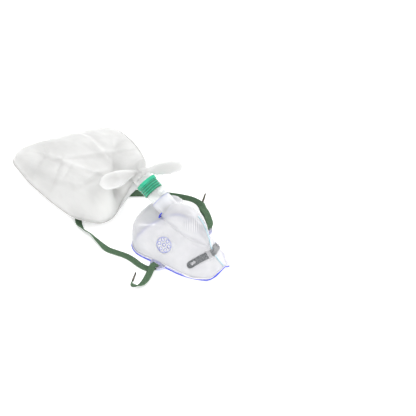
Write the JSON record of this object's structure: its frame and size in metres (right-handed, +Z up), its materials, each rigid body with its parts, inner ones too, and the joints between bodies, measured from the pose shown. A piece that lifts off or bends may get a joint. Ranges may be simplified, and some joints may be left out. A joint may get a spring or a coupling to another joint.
{
  "type": "oxygen face mask",
  "caption": "Clear oxygen face mask with nose clip, vent grids, green collar, reservoir bag and green elastic head strap, lying rim down.",
  "frame": {"origin": "middle of the underside of everything's box, on the table the mask lies on", "axes": "+X from the bag to the nose end of the mask, +Y to the wearer's right cheek, +Z up from the table"},
  "size_m": [0.325, 0.1761, 0.0901],
  "materials": {
    "clear_pvc": "clear soft moulded PVC, glossy",
    "aluminium_strip": "soft strip, brushed",
    "clear_styrene": "clear rigid moulding",
    "silicone": "thin matt disc",
    "green_polypropylene": "moulded, satin gloss",
    "frosted_film": "frosted blown film",
    "green_elastic": "woven elastic",
    "tin_plate": "rolled and crimped"
  },
  "bodies": {
    "root": {"mask_shell": "clear_pvc", "nose_clip": "aluminium_strip", "connector_body": "clear_styrene", "valve_disc": "silicone", "bag_collar": "green_polypropylene", "bag_spigot": "clear_styrene", "reservoir_bag": "frosted_film", "head_strap": "green_elastic", "strap_tip_near": "tin_plate", "strap_tip_far": "tin_plate"}
  },
  "joints": []
}
